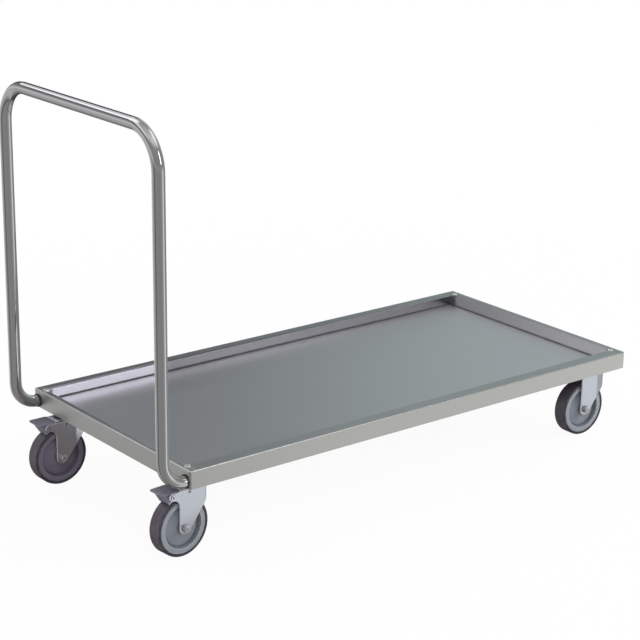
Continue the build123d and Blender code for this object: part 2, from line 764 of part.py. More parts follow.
def wheel_pieces(name, axle_x, centre_y):
    """What every castor has on its axle."""
    return {
        "axle_sleeve_" + name: axle_sleeve(axle_x, centre_y),
        "axle_bolt_" + name: axle_bolt(axle_x, centre_y),
        "axle_nut_" + name: axle_nut(axle_x, centre_y),
        "wheel_core_" + name: wheel_core(axle_x, centre_y),
        "tyre_" + name: tyre(axle_x, centre_y),
    }


def swivel_castor(side_name, centre_y):
    """The pieces of one braked swivel castor: its fixed head, then all that turns with the fork."""
    name = "swivel_" + side_name
    head = {
        "castor_plate_" + name: swivel_plate(centre_y),
        "kingpin_" + side_name: kingpin(centre_y),
        "kingpin_nut_" + side_name: kingpin_nut(centre_y),
    }
    turning = {
        "fork_" + name: fork(swivel_axle_x, centre_y, True),
        "lower_race_" + side_name: lower_race(centre_y),
        "bearing_ring_" + side_name: bearing_ring(centre_y),
        "dust_seal_" + side_name: dust_seal(centre_y),
        "pedal_pin_" + side_name: pedal_pin(swivel_axle_x, centre_y),
        "brake_pedal_" + side_name: pedal(swivel_axle_x, centre_y),
        "brake_shoe_" + side_name: brake_shoe(swivel_axle_x, centre_y),
    }
    turning |= wheel_pieces(name, swivel_axle_x, centre_y)
    pivot = Pos(kingpin_x, centre_y, 0)
    turn = pivot * Rot(0, 0, rest_turns[side_name]) * pivot.inverse()
    return head | {node: turn * piece for node, piece in turning.items()}


def fixed_castor(side_name, centre_y):
    """The pieces of one fixed castor."""
    name = "fixed_" + side_name
    pieces = {
        "castor_plate_" + name: castor_plate(fixed_plate_x, centre_y, crown_top),
        "fork_" + name: fork(fixed_axle_x, centre_y, False),
    }
    return pieces | wheel_pieces(name, fixed_axle_x, centre_y)


def trolley():
    """Every piece, by name."""
    pieces = {
        "deck_tray": deck_tray(),
        "cross_channel_handle_end": cross_channel(kingpin_x, True),
        "cross_channel_far_end": cross_channel(fixed_plate_x, False),
        "deck_stiffeners": deck_stiffeners(),
        "corner_rivets": corner_rivets(),
        "push_handle": push_handle(),
        "foot_collars": foot_collars(),
        "tube_plugs": tube_plugs(),
        "lock_screws": lock_screws(),
        "plate_bolts_handle_end": plate_bolts(kingpin_x),
        "plate_nuts_handle_end": plate_nuts(kingpin_x),
        "plate_bolts_far_end": plate_bolts(fixed_plate_x),
        "plate_nuts_far_end": plate_nuts(fixed_plate_x),
    }
    for side_name, side in sides.items():
        pieces |= swivel_castor(side_name, side * castor_y)
        pieces |= fixed_castor(side_name, side * castor_y)
    return pieces


os.makedirs("parts", exist_ok=True)
for piece_name, piece in trolley().items():
    export_step(piece, f"parts/{piece_name}.step")
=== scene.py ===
import json
import math
from types import SimpleNamespace

import bpy
from mathutils import Matrix, Vector


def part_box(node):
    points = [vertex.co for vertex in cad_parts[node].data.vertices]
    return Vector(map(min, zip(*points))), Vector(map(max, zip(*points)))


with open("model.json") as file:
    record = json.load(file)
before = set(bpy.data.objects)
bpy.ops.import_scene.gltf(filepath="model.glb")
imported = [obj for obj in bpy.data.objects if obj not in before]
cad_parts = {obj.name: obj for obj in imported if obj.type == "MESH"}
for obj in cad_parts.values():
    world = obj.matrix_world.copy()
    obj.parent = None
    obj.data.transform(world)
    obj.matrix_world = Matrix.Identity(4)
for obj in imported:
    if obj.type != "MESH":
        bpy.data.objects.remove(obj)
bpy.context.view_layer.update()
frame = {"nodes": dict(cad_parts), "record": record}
nodes = frame["nodes"]
scene = bpy.context.scene
scene.view_settings.view_transform = "Standard"

SIDES = ("left", "right")
ENDS = ("handle_end", "far_end")
CASTORS = ("swivel_left", "swivel_right", "fixed_left", "fixed_right")


# The deck tray. Lengths are in metres: x runs along the platform away from the handle, y to the
# pusher's left and z up from the floor.

RECESS_DEPTH = 0.022
SIDE_FLANGE = 0.029
HANDLE_END_FLANGE = 0.015
FAR_END_FLANGE = 0.020
FAR_WALL_LEAN = 0.015

tray_low, tray_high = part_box("deck_tray")
rim_height = tray_high[2]
deck_height = rim_height - RECESS_DEPTH
recess_half_width = tray_high[1] - SIDE_FLANGE
recess_start_x = tray_low[0] + HANDLE_END_FLANGE
recess_end_x = tray_high[0] - FAR_END_FLANGE
far_wall_foot_x = recess_end_x - FAR_WALL_LEAN
recess_middle_x = (recess_start_x + recess_end_x) / 2
recess_half_length = (recess_end_x - recess_start_x) / 2


# Camera, fitted to the photograph

CAMERA_AZIMUTH = -38.408
CAMERA_ELEVATION = 17.981
CAMERA_ROLL = 0.72
CAMERA_PLACE = (-2.510408, -3.138331, 1.622604)
FOCAL_PIXELS = 1939.491
PICTURE_PIXELS = 640.0
SENSOR_MM = 36.0
CLIP_END = 200


def make_camera():
    """A camera at its place, turned by azimuth, elevation and roll."""
    turn = math.radians(CAMERA_AZIMUTH)
    rise = math.radians(CAMERA_ELEVATION)
    roll = math.radians(CAMERA_ROLL)
    back = Vector((
        math.sin(turn) * math.cos(rise),
        -math.cos(turn) * math.cos(rise),
        math.sin(rise),
    ))
    right = Vector((math.cos(turn), math.sin(turn), 0))
    up = back.cross(right)
    rolled_right = math.cos(roll) * right + math.sin(roll) * up
    rolled_up = math.cos(roll) * up - math.sin(roll) * right
    turned = Matrix((rolled_right, rolled_up, back)).transposed().to_4x4()
    data = bpy.data.cameras.new("camera")
    data.sensor_width = SENSOR_MM
    data.lens = FOCAL_PIXELS / PICTURE_PIXELS * SENSOR_MM
    data.clip_end = CLIP_END
    camera = bpy.data.objects.new("camera", data)
    camera.matrix_world = Matrix.Translation(CAMERA_PLACE) @ turned
    scene.collection.objects.link(camera)
    scene.camera = camera


make_camera()


# Node helpers

# The Mix node's sockets for each kind of value: first, second and result
MIX_SOCKETS = {"RGBA": (6, 7, 2), "FLOAT": (2, 3, 0)}
BEVEL_SAMPLES = 6


class Graph:
    """A node tree, emptied, and short ways to add nodes to it and link them."""

    def __init__(self, tree):
        tree.nodes.clear()
        self.tree = tree

    def feed(self, socket, value):
        """Links a socket to another node's output, or sets it to a plain value."""
        if isinstance(value, bpy.types.NodeSocket):
            self.tree.links.new(value, socket)
        elif socket.type == "RGBA":
            socket.default_value = (*value, 1)
        else:
            socket.default_value = value

    def fill(self, node, inputs):
        for key, value in inputs.items():
            self.feed(node.inputs[key], value)

    def node(self, kind, inputs=None, **settings):
        made = self.tree.nodes.new("ShaderNode" + kind)
        for name, value in settings.items():
            setattr(made, name, value)
        self.fill(made, inputs or {})
        return made

    def show(self, surface, kind="OutputMaterial"):
        self.node(kind, {"Surface": surface})

    def here(self):
        """The point on the piece, in metres, as it lies at rest."""
        return self.node("TexCoord").outputs["Object"]

    def split(self, vector):
        """A vector's x, y and z."""
        return tuple(self.node("SeparateXYZ", {0: vector}).outputs)

    def math(self, operation, *values, clamp=False):
        made = self.node("Math", operation=operation, use_clamp=clamp)
        for socket, value in zip(made.inputs, values):
            self.feed(socket, value)
        return made.outputs[0]

    def times(self, first, *others):
        """The product of two or more values."""
        product = first
        for other in others:
            product = self.math("MULTIPLY", product, other)
        return product

    def plus(self, a, b):
        return self.math("ADD", a, b)

    def minus(self, a, b):
        return self.math("SUBTRACT", a, b)

    def shifted(self, base, share, amount):
        """A base value plus a share of an amount."""
        return self.math("MULTIPLY_ADD", share, amount, base)

    def varied(self, base, noise, amount):
        """A base value that a noise around 0.5 moves up and down."""
        return self.shifted(base, self.minus(noise, 0.5), amount)

    def smooth(self, value, none, full):
        """0 on one side of none and 1 on the other side of full, smooth in between."""
        inputs = {"Value": value, "From Min": none, "From Max": full}
        made = self.node("MapRange", inputs, interpolation_type="SMOOTHSTEP")
        return made.outputs["Result"]

    def between(self, value, low, high, soft):
        """1 between low and high, with soft ends."""
        return self.times(
            self.smooth(value, low - soft, low + soft),
            self.smooth(value, high + soft, high - soft),
        )

    def mix(self, factor, a, b, kind="RGBA", blend="MIX"):
        """A mix of two colours, or of two numbers where the kind is FLOAT."""
        first, second, result = MIX_SOCKETS[kind]
        inputs = {0: factor, first: a, second: b}
        return self.node("Mix", inputs, data_type=kind, blend_type=blend).outputs[result]

    def multiplied(self, a, b):
        """One colour multiplied by another, or by a number."""
        return self.mix(1.0, a, b, blend="MULTIPLY")

    def levels(self, factor, stops):
        """Grey levels along a factor from 0 to 1; stops are (place, level)."""
        made = self.node("ValToRGB", {0: factor})
        ramp = made.color_ramp
        ramp.interpolation = "EASE"
        while len(ramp.elements) < len(stops):
            ramp.elements.new(0.5)
        for element, (place, level) in zip(ramp.elements, stops):
            element.position = place
            element.color = (level, level, level, 1)
        return made.outputs[0]

    def noise(self, vector, scale, detail, roughness, distortion=0.0):
        """Noise around 0.5; its scale is one number, or one for each axis."""
        if isinstance(scale, tuple):
            vector = self.node("Mapping", {"Vector": vector, "Scale": scale}).outputs[0]
            scale = 1.0
        inputs = {
            "Vector": vector, "Scale": scale, "Detail": detail, "Roughness": roughness,
            "Distortion": distortion,
        }
        return self.node("TexNoise", inputs).outputs["Fac"]

    def bumped(self, shader, height, strength, distance, edge_radius=None):
        """Bumps a shader's surface and, where a radius is given, eases its sharp edges."""
        bump = self.node("Bump", {"Strength": strength, "Distance": distance, "Height": height})
        if edge_radius is not None:
            bevel = self.node("Bevel", {"Radius": edge_radius}, samples=BEVEL_SAMPLES)
            self.feed(bump.inputs["Normal"], bevel.outputs[0])
        self.feed(shader.inputs["Normal"], bump.outputs[0])


# Surroundings: white to the camera, a plain studio to metal, an even light to all else.
# Directions are in degrees. The angle around is 0 towards the pusher's right, called the front
# here, 90 towards the far end, 180 towards the pusher's left, called the back, and -90 towards
# the handle. The angle above is 0 on the level and 90 overhead.

WHITE = (1, 1, 1)
EVEN_LIGHT = (0.46, 0.47, 0.49)

# Rings are (angle around, level), columns are (angle above, level)
LOW_RING = (
    (-180, 0.28), (-172, 0.28), (-160, 0.48), (-141, 0.60), (-120, 0.34), (-100, 0.14),
    (-84, 0.32), (-10, 0.30), (22, 0.36), (31, 0.42), (36, 0.78), (42, 0.71), (48, 0.73),
    (54, 1.40), (60, 0.50), (70, 0.38), (108, 0.30), (122, 0.07), (154, 0.07), (168, 0.28),
    (180, 0.28),
)
DECK_SIDE_RING = (
    (90, 0.56), (128, 0.62), (137, 0.62), (142, 0.37), (146, 0.06), (165, 0.06), (180, 0.16),
)
FRONT_COLUMN = ((-40, 0.45), (-5, 0.38), (12, 0.30), (38, 0.34), (60, 0.8), (90, 0.55))
BACK_LEFT_COLUMN = (
    (-40, 0.40), (-20, 0.53), (-12, 0.60), (-3, 0.78), (4, 0.70), (11, 0.40), (18, 0.24),
    (28, 0.17), (31, 0.30), (35, 1.10), (41, 1.45), (46, 0.75), (60, 0.50), (90, 0.55),
)
BACK_RIGHT_COLUMN = (
    (-12, 0.45), (-2, 0.45), (9, 0.35), (30, 0.30), (38, 0.28), (46, 0.32), (60, 0.40),
    (90, 0.50),
)

# Windows are (angles around, angles above, softness of the edges, colour)
LOW_WINDOWS = (
    ((-200, -167), (-27, 10), 3.0, (1.1, 1.1, 1.1)),
    ((170, 200), (-27, 10), 3.0, (1.1, 1.1, 1.1)),
)
UPPER_WINDOWS = (
    ((22, 38), (8, 34), 2.0, (3.0, 2.92, 3.3)),
    ((44, 104), (36, 62), 4.0, (1.3, 1.3, 1.3)),
    ((152, 200), (26, 60), 2.0, (0.80, 0.80, 0.85)),
    ((-200, -150), (29, 60), 1.5, (1.5, 1.5, 1.6)),
)

# Fades, each from none to full: of angles around, of angles above and of a direction's x or y
DECK_SIDE_TINT = (0.88, 1.03, 1.05)
DECK_SIDE_TINT_AROUND = (150, 141)
DECK_SIDE_FOOT = (-6, 4)
DECK_SIDE_TOP = (44, 34)
LOW_ABOVE = (2, -9)
BACK_RIGHT_X = (-0.15, 0.15)
BACK_Y = (-0.25, 0.30)


def make_world():
    world = bpy.data.worlds.new("studio")
    scene.world = world
    world.use_nodes = True
    g = Graph(world.node_tree)
    x, y, z = g.split(g.node("TexCoord").outputs["Generated"])
    around = g.times(g.math("ARCTAN2", x, g.times(y, -1.0)), 180 / math.pi)
    above = g.times(g.math("ARCSINE", z), 180 / math.pi)

    def by_angle(angle, span, stops):
        """Levels by an angle whose span has 0 in its middle."""
        place = g.plus(g.math("DIVIDE", angle, span), 0.5)
        return g.levels(place, [(stop / span + 0.5, level) for stop, level in stops])

    def ring(stops):
        return by_angle(around, 360.0, stops)

    def column(stops):
        return by_angle(above, 180.0, stops)

    def with_windows(sky, windows):
        for turns, rises, soft, color in windows:
            inside = g.times(g.between(around, *turns, soft), g.between(above, *rises, soft))
            sky = g.mix(inside, sky, color)
        return sky

    deck_side = ring(DECK_SIDE_RING)
    tinted = g.multiplied(deck_side, DECK_SIDE_TINT)
    deck_side = g.mix(g.smooth(around, *DECK_SIDE_TINT_AROUND), deck_side, tinted)
    in_band = g.times(g.smooth(above, *DECK_SIDE_FOOT), g.smooth(above, *DECK_SIDE_TOP))
    back_right = g.mix(in_band, column(BACK_RIGHT_COLUMN), deck_side)
    back = g.mix(g.smooth(x, *BACK_RIGHT_X), column(BACK_LEFT_COLUMN), back_right)
    upper = g.mix(g.smooth(y, *BACK_Y), column(FRONT_COLUMN), back)
    upper = with_windows(upper, UPPER_WINDOWS)
    low = with_windows(ring(LOW_RING), LOW_WINDOWS)
    studio = g.mix(g.smooth(above, *LOW_ABOVE), upper, low)

    path = g.node("LightPath").outputs
    seen = g.mix(path["Is Glossy Ray"], EVEN_LIGHT, studio)
    clear = g.math("MAXIMUM", path["Is Camera Ray"], path["Is Transmission Ray"])
    background = g.node("Background", {"Color": g.mix(clear, seen, WHITE)})
    g.show(background.outputs[0], "OutputWorld")


make_world()


# Lamps are (name, place, aim, width and height, watts)
LAMPS = (
    ("lamp_front", (-2.4, -3.4, 3.4), (0, 0, 0.2), (2.4, 2.4), 105),
    ("lamp_right", (3.3, -2.4, 1.9), (0.3, 0, 0.1), (2.0, 2.0), 130),
    ("lamp_back", (0.6, 3.6, 3.2), (0, 0, 0.2), (3.0, 2.0), 80),
)


def make_lamp(name, place, aim, size, watts):
    """A soft rectangular lamp that metal doesn't mirror."""
    data = bpy.data.lights.new(name, "AREA")
    data.shape = "RECTANGLE"
    data.size, data.size_y = size
    data.energy = watts
    lamp = bpy.data.objects.new(name, data)
    lamp.location = place
    lamp.rotation_euler = (Vector(aim) - Vector(place)).to_track_quat("-Z", "Y").to_euler()
    lamp.visible_glossy = False
    scene.collection.objects.link(lamp)


for lamp_facts in LAMPS:
    make_lamp(*lamp_facts)


def new_material(name):
    """An empty material and its node graph."""
    material = bpy.data.materials.new(name)
    material.use_nodes = True
    return material, Graph(material.node_tree)


def make_plane(name, half_length, half_width, height, material):
    """A level rectangle round the trolley's middle."""
    turns = ((-1, -1), (1, -1), (1, 1), (-1, 1))
    corners = [(a * half_length, b * half_width, height) for a, b in turns]
    mesh = bpy.data.meshes.new(name)
    mesh.from_pydata(corners, [], [(0, 1, 2, 3)])
    mesh.materials.append(material)
    plane = bpy.data.objects.new(name, mesh)
    scene.collection.objects.link(plane)
    return plane


FLOOR_REACH = 60.0
FLOOR_GREY = (0.8, 0.8, 0.8)
SHADOW_SHARE = 0.05
SHADOW_DISTANCE = (2.4, 1.0)


def make_floor():
    """A wide floor with a faint shadow close to the trolley, plain white further off."""
    material, g = new_material("floor_white")
    distance = g.node("VectorMath", {0: g.here()}, operation="LENGTH").outputs["Value"]
    near = g.smooth(distance, *SHADOW_DISTANCE)
    white_share = g.shifted(1.0, near, -SHADOW_SHARE)
    white_share = g.times(white_share, g.node("LightPath").outputs["Is Camera Ray"])
    lit = g.node("BsdfDiffuse", {"Color": FLOOR_GREY})
    glow = g.node("Emission", {"Color": WHITE})
    both = g.node("MixShader", {0: white_share, 1: lit.outputs[0], 2: glow.outputs[0]})
    g.show(both.outputs[0])
    floor = make_plane("floor", FLOOR_REACH, FLOOR_REACH, 0, material)
    floor.visible_glossy = False


make_floor()


SHADE_HALF_LENGTH = 0.8
SHADE_HALF_WIDTH = 0.5
SHADE_HEIGHT = 0.0005
SHADE_COLOR = (0.175, 0.155, 0.15)
SHADE_ENDS = (0.78, 0.55)
SHADE_SIDES = (0.42, 0.27)
# A gap in the painted shade along x, where metal sees the studio instead
SHADE_GAP = (-0.315, 0.10)
SHADE_GAP_SOFT = 0.010
SHADE_GAP_SHARE = 0.8


def make_under_shade():
    """A dark glowing sheet of painted shade that metal under the platform sees in place of the
    shaded floor; nothing else sees it.
    """
    material, g = new_material("under_shade_dark")
    x, y, _ = g.split(g.here())
    # A gap in the painted shade
    gap = g.between(x, *SHADE_GAP, SHADE_GAP_SOFT)
    cover = g.times(
        g.smooth(g.math("ABSOLUTE", x), *SHADE_ENDS),
        g.shifted(1.0, gap, -SHADE_GAP_SHARE),
        g.smooth(g.math("ABSOLUTE", y), *SHADE_SIDES),
    )
    clear = g.node("BsdfTransparent")
    glow = g.node("Emission", {"Color": SHADE_COLOR})
    both = g.node("MixShader", {0: cover, 1: clear.outputs[0], 2: glow.outputs[0]})
    g.show(both.outputs[0])
    shade = make_plane(
        "under_shade", SHADE_HALF_LENGTH, SHADE_HALF_WIDTH, SHADE_HEIGHT, material
    )
    shade.visible_camera = False
    shade.visible_diffuse = False
    shade.visible_shadow = False
    shade.visible_transmission = False


make_under_shade()


# Materials

METAL_BUMP_DISTANCE = 0.0001
PLASTIC_BUMP_DISTANCE = 0.0002


def shaded_material(name):
    """A material with one principled shader."""
    material, g = new_material(name)
    shader = g.node("BsdfPrincipled")
    g.show(shader.outputs[0])
    return material, g, shader


# The tray's sheet. Its parts fade into each other over these distances, each from none to full.

# How far outside the recess its walls may still lie
SIDE_WALL_REACH = 0.010
END_WALL_REACH = 0.008

FADES = SimpleNamespace(
    # Height over the rim's top
    flange=(-0.0012, -0.0004),
    # Heights over the deck
    deck=(0.0012, 0.0003),
    far_wall_height=(0.0005, 0.0012),
    back_wall_height=(0.0008, 0.0015),
    corner_shade_height=(0.0045, 0.0008),
    # Distances in from a wall, and along x from the leaning wall's foot
    corner_shade_at_walls=(0.0050, 0.0015),
    corner_shade_at_far_wall=(-0.0035, -0.0010),
    far_wall=(-0.002, 0.0),
    # Distances along x from the recess's far end, and from the end skirt's face
    far_flange=(-0.001, 0.003),
    end_skirt=(0.0012, 0.0004),
    outer_edge_highlight=(0.0055, 0.0030),
    # Places along x
    near_rim_x=(-0.50, 0.45),
    back_rim_x=(-0.30, 0.45),
    back_wall_x=(-0.29, -0.23),
    painted_shade_by_wall_x=(0.10, -0.40),
    # Places along y
    back_rim_y=(-0.05, 0.05),
    far_wall_y=(0.24, -0.24),
    back_wall_y=(0.250, 0.258),
    painted_shade_by_wall_y=(0.10, 0.250),
)

# A painted highlight on the inner edge of the handle-end flange: its span from the recess and its
# softness
INNER_EDGE_HIGHLIGHT = (-0.0025, 0.0010, 0.0006)
INNER_EDGE_HIGHLIGHT_SHARE = 0.45
EDGE_HIGHLIGHT_METAL_LOSS = 0.50

# Where a part has two tints, it changes from the first to the second along its length
# The folds and deck keep their own tints; the rims' and walls' tints are painted light and shade
TRAY_TINTS_AND_PAINTED_LIGHT = SimpleNamespace(
    folds=(0.583, 0.583, 0.560),
    deck=(0.602, 0.604, 0.608),
    # Painted shade on the deck along the back wall, towards the handle end
    painted_shade_by_wall=(0.420, 0.424, 0.414),
    # Painted light and shade on the near and back rims, darker towards the far end
    near_rim=((0.560, 0.560, 0.550), (0.410, 0.415, 0.405)),
    back_rim=((0.450, 0.445, 0.450), (0.370, 0.365, 0.370)),
    # Painted shade on the far end's rim
    far_rim=(0.400, 0.385, 0.385),
    # Painted shade on the far wall, lighter towards the near side
    far_wall=((0.350, 0.346, 0.360), (0.500, 0.498, 0.515)),
    # Painted reflection, pale lavender, on the back wall's left end, and painted shade on the
    # rest of it
    back_wall=((0.860, 0.840, 0.900), (0.330, 0.330, 0.330)),
    # Painted shade in the recess's inner corners
    corner_shade=(0.10, 0.10, 0.105),
)

TRAY_ROUGHNESS = 0.22
DECK_ROUGHER = 0.17
FAR_WALL_ROUGHER = 0.10
CORNER_ROUGHER = 0.35
END_SKIRT_ROUGHER = 0.16


def tray_zones(g, here):
    """The parts of the folded sheet, each as a share from 0 to 1."""
    x, y, z = g.split(here)
    above_deck = g.minus(z, deck_height)
    from_side = g.minus(recess_half_width, g.math("ABSOLUTE", y))
    from_end = g.minus(recess_half_length, g.math("ABSOLUTE", g.minus(x, recess_middle_x)))
    past_foot = g.minus(x, far_wall_foot_x)
    past_skirt = g.minus(x, tray_low[0])
    inside = g.times(
        g.math("GREATER_THAN", from_side, -SIDE_WALL_REACH),
        g.math("GREATER_THAN", from_end, -END_WALL_REACH),
    )
    flange = g.smooth(g.minus(z, rim_height), *FADES.flange)
    deck = g.times(inside, g.smooth(above_deck, *FADES.deck))
    far_wall = g.times(
        inside,
        g.smooth(above_deck, *FADES.far_wall_height),
        g.smooth(past_foot, *FADES.far_wall),
    )
    back_wall = g.times(
        inside,
        g.smooth(above_deck, *FADES.back_wall_height),
        g.smooth(y, *FADES.back_wall_y),
        g.minus(1.0, far_wall),
    )
    # Painted shade in the recess's inner corners, at the foot of its walls, mottled by a noise
    in_corner = g.math(
        "MAXIMUM",
        g.smooth(g.math("MINIMUM", from_side, from_end), *FADES.corner_shade_at_walls),
        g.smooth(past_foot, *FADES.corner_shade_at_far_wall),
    )
    corner_shade = g.times(inside, g.smooth(above_deck, *FADES.corner_shade_height), in_corner)
    darkening = g.noise(here, scale=60.0, detail=4.0, roughness=0.6, distortion=0.5)
    # Painted highlight along the handle-end flange's outer and inner edges
    inner_edge_highlight = g.between(g.minus(x, recess_start_x), *INNER_EDGE_HIGHLIGHT)
    edge_highlight = g.math(
        "MAXIMUM",
        g.smooth(past_skirt, *FADES.outer_edge_highlight),
        g.times(inner_edge_highlight, INNER_EDGE_HIGHLIGHT_SHARE),
    )
    return SimpleNamespace(
        x=x,
        y=y,
        flange=flange,
        deck=deck,
        far_wall=far_wall,
        back_wall=back_wall,
        # Painted shade on the deck along the back wall, towards the handle end
        painted_shade_by_wall=g.times(
            deck, g.smooth(y, *FADES.painted_shade_by_wall_y), g.smooth(x, *FADES.painted_shade_by_wall_x)
        ),
        far_flange=g.times(flange, g.smooth(g.minus(x, recess_end_x), *FADES.far_flange)),
        end_skirt=g.smooth(past_skirt, *FADES.end_skirt),
        edge_highlighted=g.times(flange, edge_highlight),
        corner_shaded=g.math("MULTIPLY", corner_shade, g.shifted(0.55, darkening, 0.5), clamp=True),
    )


def tray_tint_and_painted_light(g, zones):
    """The sheet's colour, part by part, with painted light and shade on its rims, walls and deck.
    """
    near_rim = g.mix(g.smooth(zones.x, *FADES.near_rim_x), *TRAY_TINTS_AND_PAINTED_LIGHT.near_rim)
    back_rim = g.mix(g.smooth(zones.x, *FADES.back_rim_x), *TRAY_TINTS_AND_PAINTED_LIGHT.back_rim)
    rim = g.mix(g.smooth(zones.y, *FADES.back_rim_y), near_rim, back_rim)
    far_wall = g.mix(g.smooth(zones.y, *FADES.far_wall_y), *TRAY_TINTS_AND_PAINTED_LIGHT.far_wall)
    back_wall = g.mix(g.smooth(zones.x, *FADES.back_wall_x), *TRAY_TINTS_AND_PAINTED_LIGHT.back_wall)
    tint = g.mix(zones.deck, TRAY_TINTS_AND_PAINTED_LIGHT.folds, TRAY_TINTS_AND_PAINTED_LIGHT.deck)
    tint = g.mix(zones.flange, tint, rim)
    tint = g.mix(zones.far_flange, tint, TRAY_TINTS_AND_PAINTED_LIGHT.far_rim)
    tint = g.mix(zones.far_wall, tint, far_wall)
    tint = g.mix(zones.back_wall, tint, back_wall)
    # Painted shade on the deck beside the back wall
    tint = g.mix(zones.painted_shade_by_wall, tint, TRAY_TINTS_AND_PAINTED_LIGHT.painted_shade_by_wall)
    # Painted shade in the recess's inner corners
    return g.mix(zones.corner_shaded, tint, TRAY_TINTS_AND_PAINTED_LIGHT.corner_shade)


def tray_steel():
    """Stainless sheet: a dull long-grained deck, smoother folded sides and a hand-rubbed rim."""
    material, g, shader = shaded_material("deck_steel_look")
    here = g.here()
    zones = tray_zones(g, here)
    grain = g.noise(here, scale=(3, 260, 260), detail=4.0, roughness=0.65)
    fine = g.noise(here, scale=(12, 1040, 1040), detail=2.0, roughness=0.5)
    clouds = g.noise(here, scale=3.2, detail=3.0, roughness=0.55, distortion=0.4)
    smears = g.noise(here, scale=(2.2, 9, 9), detail=3.0, roughness=0.6, distortion=1.2)
    rub = g.noise(here, scale=(30, 30, 8), detail=3.0, roughness=0.6)

    shade = g.varied(g.varied(1.0, grain, 0.05), clouds, 0.05)
    rough = g.varied(g.varied(TRAY_ROUGHNESS, fine, 0.06), smears, 0.05)
    rough = g.shifted(rough, zones.deck, DECK_ROUGHER)
    rough = g.shifted(rough, zones.far_wall, FAR_WALL_ROUGHER)
    rough = g.plus(rough, g.times(zones.flange, g.shifted(0.06, rub, 0.16)))
    rough = g.shifted(rough, zones.corner_shaded, CORNER_ROUGHER)
    rough = g.shifted(rough, zones.end_skirt, END_SKIRT_ROUGHER)
    g.fill(shader, {
        "Base Color": g.multiplied(tray_tint_and_painted_light(g, zones), shade),
        # Less metal on the handle-end flange's edges: a painted highlight
        "Metallic": g.shifted(1.0, zones.edge_highlighted, -EDGE_HIGHLIGHT_METAL_LOSS),
        "Roughness": rough,
    })
    g.bumped(shader, fine, strength=0.02, distance=METAL_BUMP_DISTANCE)
    return material


HANDLE_COLOR = (0.62, 0.62, 0.62)
HANDLE_ROUGHNESS = 0.05
# Above this height the tube is the top bar, and its polishing rings run the other way
TOP_BAR_HEIGHT = (0.76, 0.84)


def handle_steel():
    """Polished stainless tube, with faint rings from polishing round the tube."""
    material, g, shader = shaded_material("handle_steel_look")
    here = g.here()
    on_bar = g.smooth(g.split(here)[2], *TOP_BAR_HEIGHT)
    leg_rings = g.noise(here, scale=(20, 20, 900), detail=3.0, roughness=0.6)
    bar_rings = g.noise(here, scale=(20, 900, 20), detail=3.0, roughness=0.6)
    rings = g.mix(on_bar, leg_rings, bar_rings, kind="FLOAT")
    handled = g.noise(here, scale=14.0, detail=3.0, roughness=0.6, distortion=0.6)
    shade = g.varied(g.varied(1.0, rings, 0.06), handled, 0.05)
    g.fill(shader, {
        "Base Color": g.multiplied(HANDLE_COLOR, shade),
        "Metallic": 1.0,
        "Roughness": g.varied(g.varied(HANDLE_ROUGHNESS, handled, 0.05), rings, 0.04),
    })
    g.bumped(shader, rings, strength=0.02, distance=METAL_BUMP_DISTANCE)
    return material


# Zinc plating

FORK_ZINC = (0.66, 0.70, 0.77)
BOLT_ZINC = (0.62, 0.64, 0.68)
PIN_ZINC = (0.74, 0.77, 0.82)
# How a stain changes the plating's red, green and blue, and its noise levels from none to full
STAIN_TINT = (1.03, 0.99, 0.93)
STAIN_LEVELS = (0.45, 0.75)
SPANGLE_SCALE = 420.0
SPANGLE_MIDDLE = 0.4
PLATING_BUMP = 0.12
PLATING_EDGE_RADIUS = 0.0005


def plated(g, here, color, roughness):
    """Bluish zinc plating with spangle and faint stains.

    Returns its tint, the shade that multiplies it, its roughness and its fine height.
    """
    spangle = g.node("TexVoronoi", {"Vector": here, "Scale": SPANGLE_SCALE}, feature="F1")
    fine = g.noise(here, scale=900.0, detail=2.0, roughness=0.6)
    stain = g.noise(here, scale=45.0, detail=4.0, roughness=0.6, distortion=0.8)
    stained = tuple(level * change for level, change in zip(color, STAIN_TINT))
    tint = g.mix(g.smooth(stain, *STAIN_LEVELS), color, stained)
    shade = g.shifted(1.0, g.minus(spangle.outputs["Distance"], SPANGLE_MIDDLE), 0.04)
    shade = g.varied(shade, stain, 0.08)
    rough = g.varied(g.varied(roughness, stain, 0.10), fine, 0.05)
    return tint, shade, rough, fine


def finish_plating(g, shader, surface, height, strength, edge_radius, metallic=1.0):
    """Gives a shader its tint, shade and roughness, a bumped height and eased edges."""
    tint, shade, rough = surface
    g.fill(shader, {
        "Base Color": g.multiplied(tint, shade),
        "Metallic": metallic,
        "Roughness": rough,
    })
    g.bumped(shader, height, strength, METAL_BUMP_DISTANCE, edge_radius)


def zinc_plate(name, color, roughness, metallic=1.0):
    """Bluish zinc plating: fine mottling, faint stains and eased edges."""
    material, g, shader = shaded_material(name)
    tint, shade, rough, fine = plated(g, g.here(), color, roughness)
    surface = (tint, shade, rough)
    finish_plating(g, shader, surface, fine, PLATING_BUMP, PLATING_EDGE_RADIUS, metallic)
    return material


THREAD_FLANK = (0.6, 0.1)
# Painted shade in the thread's grooves
THREAD_PAINTED_SHADE = 0.55
THREAD_DEPTH = 4.0
THREAD_FINE_SHARE = 0.2
THREAD_BUMP = 0.6
THREAD_EDGE_RADIUS = 0.0003


